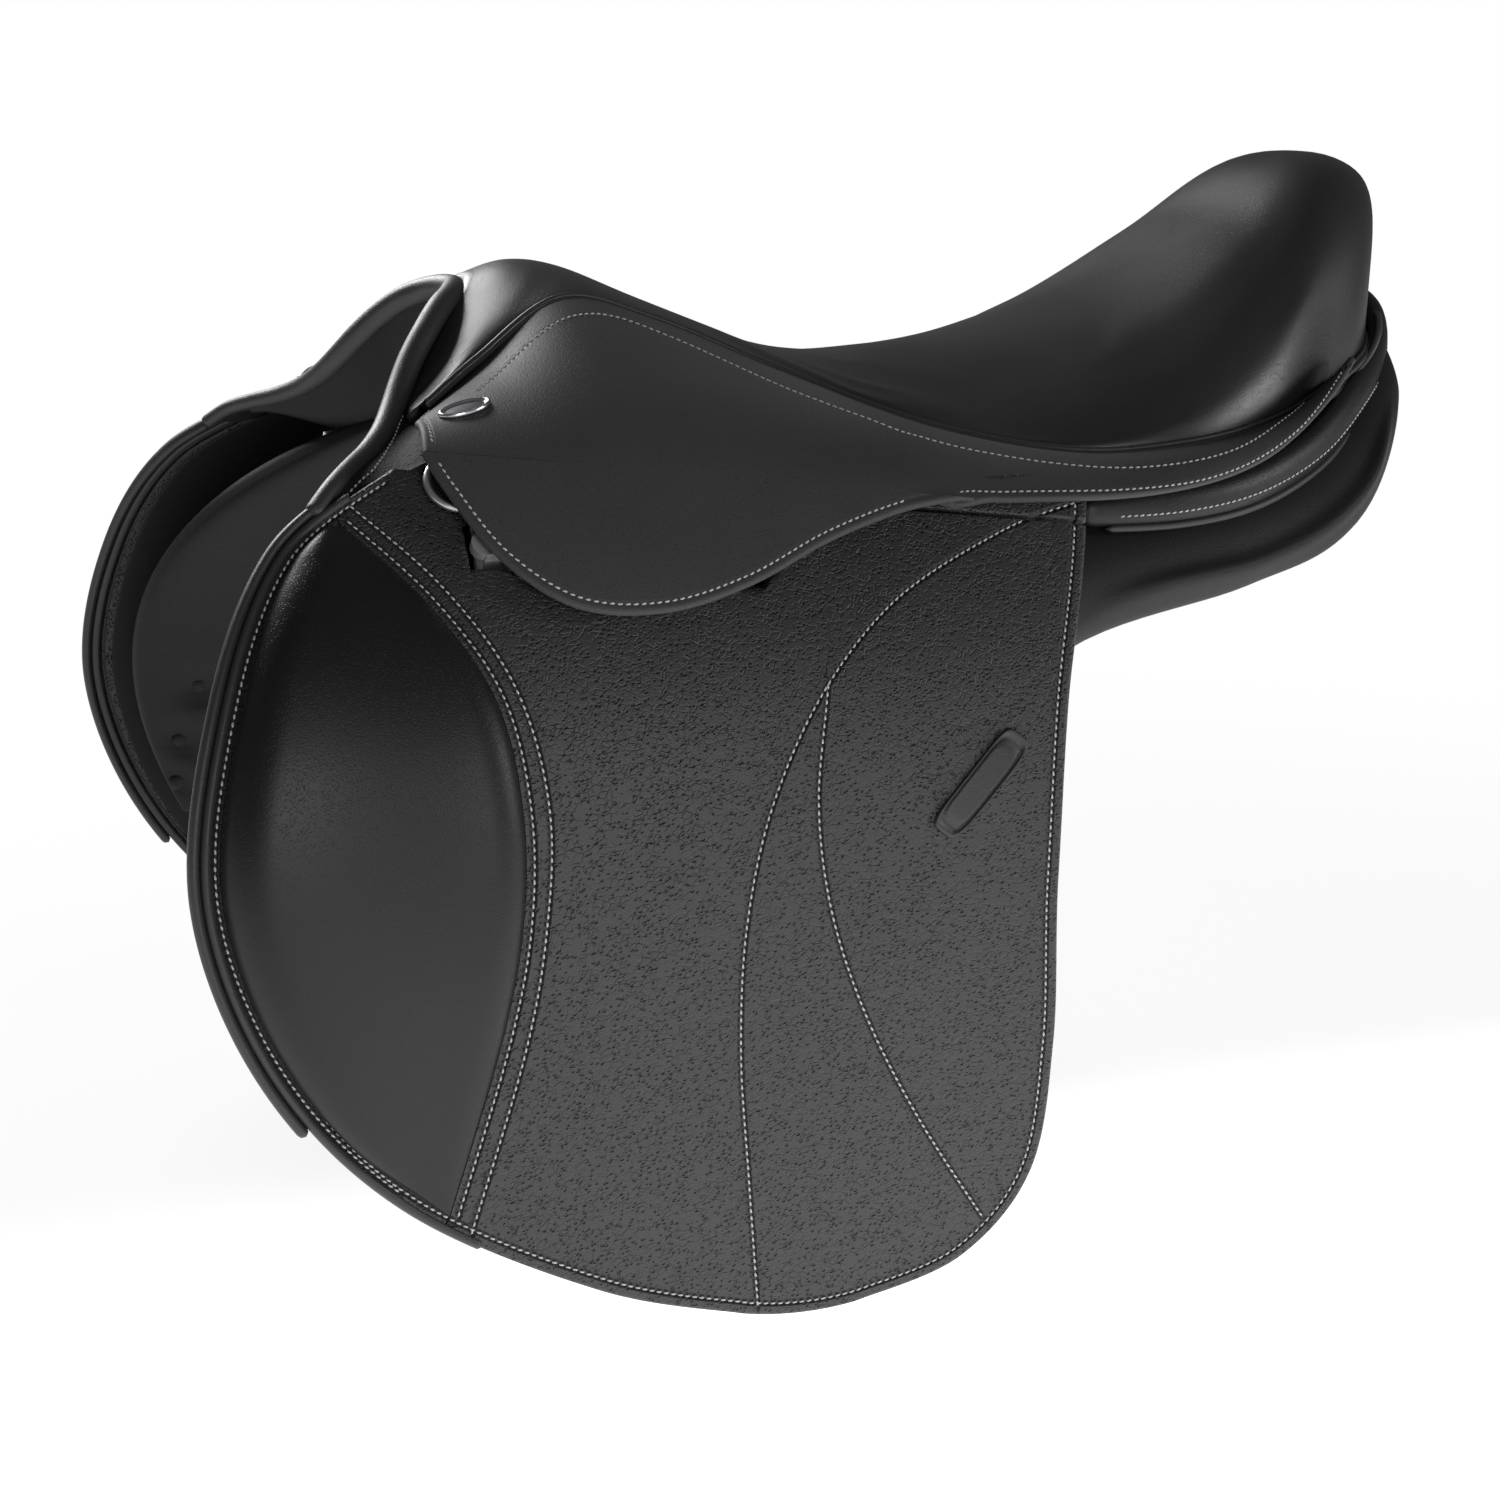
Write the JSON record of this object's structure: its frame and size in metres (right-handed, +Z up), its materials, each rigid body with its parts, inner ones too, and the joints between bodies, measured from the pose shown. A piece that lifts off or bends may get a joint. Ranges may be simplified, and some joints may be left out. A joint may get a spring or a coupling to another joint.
{
  "type": "jumping saddle",
  "caption": "Close-contact jumping saddle with padded seat, forward flaps with knee pads, skirts over stirrup bars, girth straps and stuffed panels.",
  "frame": {"origin": "on the saddle's middle plane, at the level where the panels bear, under the deepest point of the seat", "axes": "+X towards the cantle, so the horse faces -X; +Z up; +Y to the rider's right (off side)"},
  "size_m": [0.5916, 0.451, 0.4538],
  "materials": {
    "seat_leather": "smooth satin black leather",
    "flap_leather": "pebbled black leather",
    "skirt_leather": "smooth fine-grained black leather",
    "lining_leather": "soft matt black leather",
    "strap_leather": "black bridle leather",
    "steel": "forged steel, polished",
    "badge_steel": "polished rim, dark face",
    "beech": "laminated beech",
    "webbing": "woven webbing",
    "foam": "wool and foam padding"
  },
  "bodies": {
    "saddle": {"tree_frame": "beech", "head_plate": "steel", "seat_webs": "webbing", "seat_cover": "seat_leather", "seat_foam": "foam", "seat_welt": "flap_leather", "pommel_roll": "flap_leather", "channel_lining": "lining_leather", "rear_facing": "seat_leather", "bar_rivets": "steel", "strap_rivets": "steel", "skirt_studs": "badge_steel", "left_skirt_band": "skirt_leather", "right_skirt_band": "skirt_leather", "left_flap_head": "flap_leather", "right_flap_head": "flap_leather", "left_stirrup_bar": "steel", "right_stirrup_bar": "steel", "left_catch_pin": "steel", "right_catch_pin": "steel", "left_panel": "lining_leather", "right_panel": "lining_leather", "left_sweat_flap": "lining_leather", "right_sweat_flap": "lining_leather", "left_knee_block": "seat_leather", "right_knee_block": "seat_leather", "left_thigh_block": "seat_leather", "right_thigh_block": "seat_leather", "left_girth_web": "webbing", "right_girth_web": "webbing"},
    "left_flap": {"left_flap": "flap_leather", "left_flap_roll": "flap_leather", "left_knee_pad": "seat_leather", "left_dee_chape": "skirt_leather"},
    "left_skirt": {"left_skirt": "skirt_leather"},
    "left_dee": {"left_dee_ring": "steel"},
    "left_catch": {"left_bar_catch": "steel"},
    "left_front_strap": {"left_front_girth_strap": "strap_leather"},
    "left_rear_strap": {"left_rear_girth_strap": "strap_leather"},
    "right_flap": {"right_flap": "flap_leather", "right_flap_roll": "flap_leather", "right_knee_pad": "seat_leather", "right_dee_chape": "skirt_leather"},
    "right_skirt": {"right_skirt": "skirt_leather"},
    "right_dee": {"right_dee_ring": "steel"},
    "right_catch": {"right_bar_catch": "steel"},
    "right_front_strap": {"right_front_girth_strap": "strap_leather"},
    "right_rear_strap": {"right_rear_girth_strap": "strap_leather"}
  },
  "joints": [
    {"name": "left_flap_lift", "type": "hinge", "parent": "saddle", "child": "left_flap", "pos_m": [-0.242, -0.14104, 0.09955], "axis": [-0.9881, 0.1035, 0.114], "range_deg": [0, 50]},
    {"name": "left_skirt_lift", "type": "hinge", "parent": "left_flap", "child": "left_skirt", "pos_m": [-0.242, -0.14104, 0.09955], "axis": [-0.9881, 0.1035, 0.114], "range_deg": [0, 45]},
    {"name": "left_dee_swing", "type": "hinge", "parent": "left_flap", "child": "left_dee", "pos_m": [-0.217, -0.14602, 0.08671], "axis": [-0.3256, 0.6503, 0.6864], "range_deg": [0, 8]},
    {"name": "left_catch_turn", "type": "hinge", "parent": "saddle", "child": "left_catch", "pos_m": [-0.124, -0.1662, 0.06646], "axis": [0, -0.7704, 0.6376], "range_deg": [0, 90]},
    {"name": "left_front_strap_swing", "type": "hinge", "parent": "saddle", "child": "left_front_strap", "pos_m": [-0.122, -0.16978, 0.03502], "axis": [0, -0.8328, 0.5535], "range_deg": [-4, 4]},
    {"name": "left_rear_strap_swing", "type": "hinge", "parent": "saddle", "child": "left_rear_strap", "pos_m": [-0.066, -0.16978, 0.03502], "axis": [0, -0.8328, 0.5535], "range_deg": [-4, 4]},
    {"name": "right_flap_lift", "type": "hinge", "parent": "saddle", "child": "right_flap", "pos_m": [-0.242, 0.14104, 0.09955], "axis": [0.9881, 0.1035, -0.114], "range_deg": [0, 50]},
    {"name": "right_skirt_lift", "type": "hinge", "parent": "right_flap", "child": "right_skirt", "pos_m": [-0.242, 0.14104, 0.09955], "axis": [0.9881, 0.1035, -0.114], "range_deg": [0, 45]},
    {"name": "right_dee_swing", "type": "hinge", "parent": "right_flap", "child": "right_dee", "pos_m": [-0.217, 0.14602, 0.08671], "axis": [0.3256, 0.6503, -0.6864], "range_deg": [0, 8]},
    {"name": "right_catch_turn", "type": "hinge", "parent": "saddle", "child": "right_catch", "pos_m": [-0.124, 0.1662, 0.06646], "axis": [0, -0.7704, -0.6376], "range_deg": [0, 90]},
    {"name": "right_front_strap_swing", "type": "hinge", "parent": "saddle", "child": "right_front_strap", "pos_m": [-0.122, 0.16978, 0.03502], "axis": [0, -0.8328, -0.5535], "range_deg": [-4, 4]},
    {"name": "right_rear_strap_swing", "type": "hinge", "parent": "saddle", "child": "right_rear_strap", "pos_m": [-0.066, 0.16978, 0.03502], "axis": [0, -0.8328, -0.5535], "range_deg": [-4, 4]}
  ]
}
